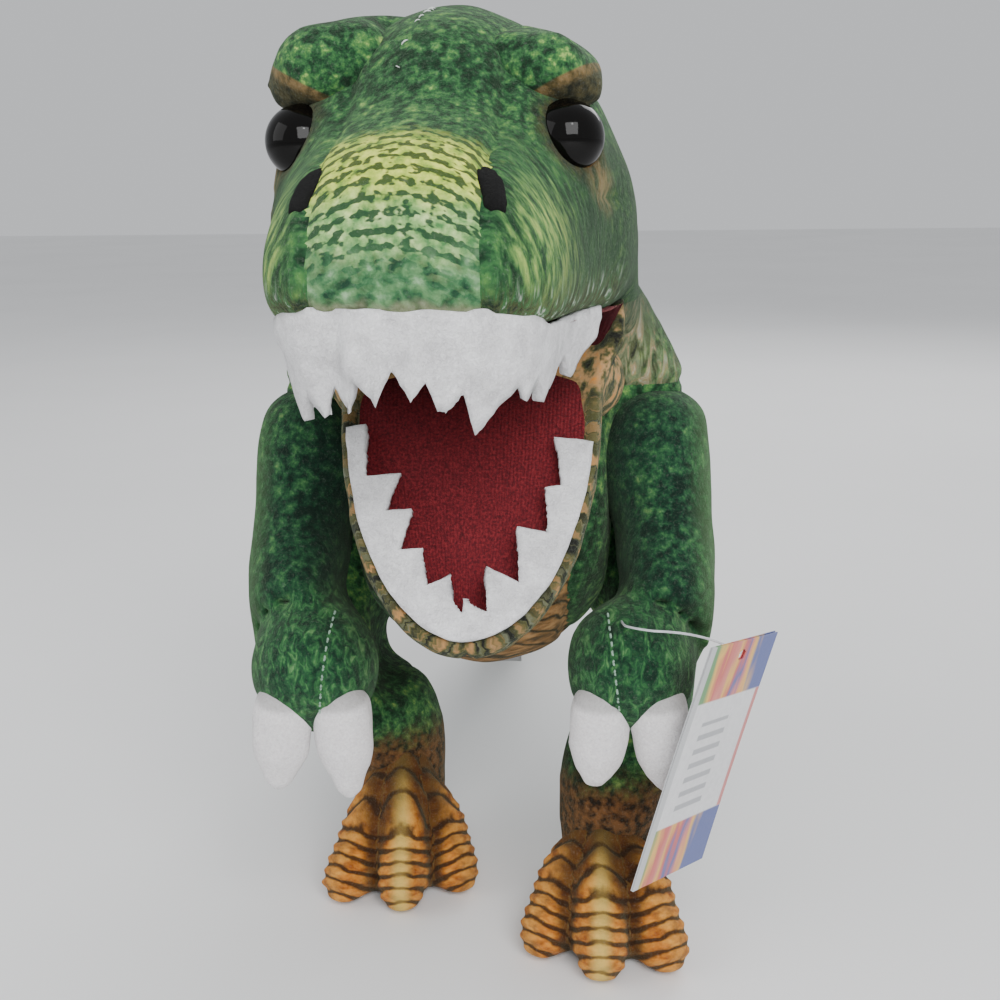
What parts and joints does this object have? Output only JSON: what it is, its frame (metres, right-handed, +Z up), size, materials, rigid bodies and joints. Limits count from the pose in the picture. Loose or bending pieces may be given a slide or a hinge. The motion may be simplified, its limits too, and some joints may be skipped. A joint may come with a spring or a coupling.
{
  "type": "stuffed dinosaur",
  "caption": "Standing plush dinosaur with open felt-toothed mouth, glossy eyes, jointed jaw, head, limbs and tail, soft claws, striped feet and a blank swing tag.",
  "frame": {"origin": "on the floor under the middle of the toy, measured without its swing tag", "axes": "-Y is the way the toy faces, +Z is up, +X is its own left side"},
  "size_m": [0.1876, 0.4849, 0.33],
  "materials": {
    "green_plush": "short printed plush, mottled dark and mid green",
    "belly_plush": "short printed plush, orange-brown with dark lines",
    "fibre_filling": "loose white polyester fibre",
    "label_satin": "blank white woven tape",
    "throat_plush": "short printed plush, olive and black with orange-tan blotches",
    "snout_plush": "short printed plush, lime with rows of dark green dashes",
    "safety_eye": "black glossy dome with an amber rim",
    "nylon_washer": "translucent white nylon",
    "black_felt": "black felt",
    "white_felt": "thick white needle felt with cut edges",
    "red_lining": "brushed crimson tricot",
    "arm_plush": "short printed plush, bluish dark green with brighter flecks",
    "white_plush": "smooth white velour",
    "clear_nylon": "clear nylon",
    "foot_plush": "short printed plush, orange with dark brown cross bands",
    "pellet_filling": "white plastic pellets in a mesh bag",
    "sole_plush": "short brown plush",
    "tag_card": "coated card printed with plain colour bands"
  },
  "bodies": {
    "torso": {"torso_skin": "green_plush", "belly_panel": "belly_plush", "torso_stuffing": "fibre_filling", "care_label": "label_satin"},
    "head": {"head_skin": "green_plush", "neck_skin": "throat_plush", "snout_panel": "snout_plush", "head_stuffing": "fibre_filling", "brow_left": "green_plush", "brow_right": "green_plush", "eye_left": "safety_eye", "eye_right": "safety_eye", "eye_washer_left": "nylon_washer", "eye_washer_right": "nylon_washer", "nostril_left": "black_felt", "nostril_right": "black_felt", "upper_teeth": "white_felt", "palate_lining": "red_lining"},
    "jaw": {"jaw_skin": "throat_plush", "jaw_stuffing": "fibre_filling", "jaw_lining": "red_lining", "lower_teeth": "white_felt"},
    "arm_left": {"arm_skin_left": "arm_plush", "arm_stuffing_left": "fibre_filling", "claw_inner_left": "white_plush", "claw_outer_left": "white_plush", "tag_pin": "clear_nylon"},
    "arm_right": {"arm_skin_right": "arm_plush", "arm_stuffing_right": "fibre_filling", "claw_inner_right": "white_plush", "claw_outer_right": "white_plush"},
    "leg_left": {"leg_skin_left": "green_plush", "leg_stuffing_left": "fibre_filling", "foot_skin_left": "foot_plush", "foot_pellets_left": "pellet_filling", "sole_left": "sole_plush"},
    "leg_right": {"leg_skin_right": "green_plush", "leg_stuffing_right": "fibre_filling", "foot_skin_right": "foot_plush", "foot_pellets_right": "pellet_filling", "sole_right": "sole_plush"},
    "tail": {"tail_skin": "green_plush", "tail_stuffing": "fibre_filling", "tail_pellets": "pellet_filling"},
    "tag": {"hang_tag": "tag_card"}
  },
  "joints": [
    {"name": "head_turn", "type": "hinge", "parent": "torso", "child": "head", "pos_m": [0, -0.107, 0.228], "axis": [0, 0, 1], "range_deg": [-10, 10], "stiffness_Nm_per_rad": 1},
    {"name": "jaw_hinge", "type": "hinge", "parent": "head", "child": "jaw", "pos_m": [0, -0.145, 0.228], "axis": [1, 0, 0], "range_deg": [-18, 8], "stiffness_Nm_per_rad": 0.9},
    {"name": "arm_swing_left", "type": "hinge", "parent": "torso", "child": "arm_left", "pos_m": [0.066, -0.09, 0.188], "axis": [1, 0, 0], "range_deg": [-20, 5], "stiffness_Nm_per_rad": 1},
    {"name": "arm_swing_right", "type": "hinge", "parent": "torso", "child": "arm_right", "pos_m": [-0.066, -0.09, 0.188], "axis": [1, 0, 0], "range_deg": [-20, 5], "stiffness_Nm_per_rad": 1},
    {"name": "leg_swing_left", "type": "hinge", "parent": "torso", "child": "leg_left", "pos_m": [0.06, -0.025, 0.125], "axis": [1, 0, 0], "range_deg": [-8, 8], "stiffness_Nm_per_rad": 12},
    {"name": "leg_swing_right", "type": "hinge", "parent": "torso", "child": "leg_right", "pos_m": [-0.06, -0.025, 0.125], "axis": [1, 0, 0], "range_deg": [-8, 8], "stiffness_Nm_per_rad": 12},
    {"name": "tail_wag", "type": "hinge", "parent": "torso", "child": "tail", "pos_m": [0, 0.013, 0.13], "axis": [0, 0, 1], "range_deg": [-20, 20], "stiffness_Nm_per_rad": 1},
    {"name": "tag_swing", "type": "hinge", "parent": "arm_left", "child": "tag", "pos_m": [0.08665, -0.157, 0.1282], "axis": [0, 1, 0], "range_deg": [-18, 0]}
  ]
}
